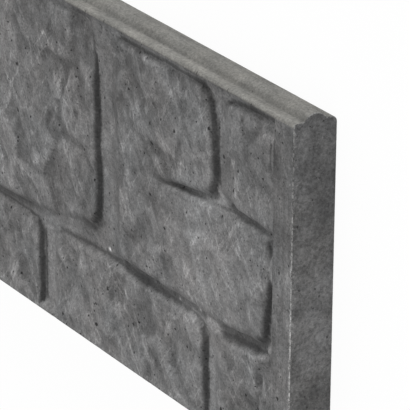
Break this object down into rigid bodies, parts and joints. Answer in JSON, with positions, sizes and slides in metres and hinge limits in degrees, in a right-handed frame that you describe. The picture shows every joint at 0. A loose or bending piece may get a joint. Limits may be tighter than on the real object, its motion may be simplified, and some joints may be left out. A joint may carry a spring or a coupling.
{
  "type": "concrete gravel board",
  "caption": "Cast concrete fence gravel board with an ashlar rock face, rounded tongue and groove edges and smooth end margins that slide into slotted posts.",
  "frame": {"origin": "centre of the board's outline, on the floor under its plain back", "axes": "+X along the board towards the end shown in the picture, +Y up in use towards the tongue, +Z out of the rock face"},
  "size_m": [1.84, 0.367, 0.048],
  "materials": {
    "concrete": "matte cast concrete, dark grey, with fine air pits"
  },
  "bodies": {
    "root": {"gravel_board": "concrete"}
  },
  "joints": []
}
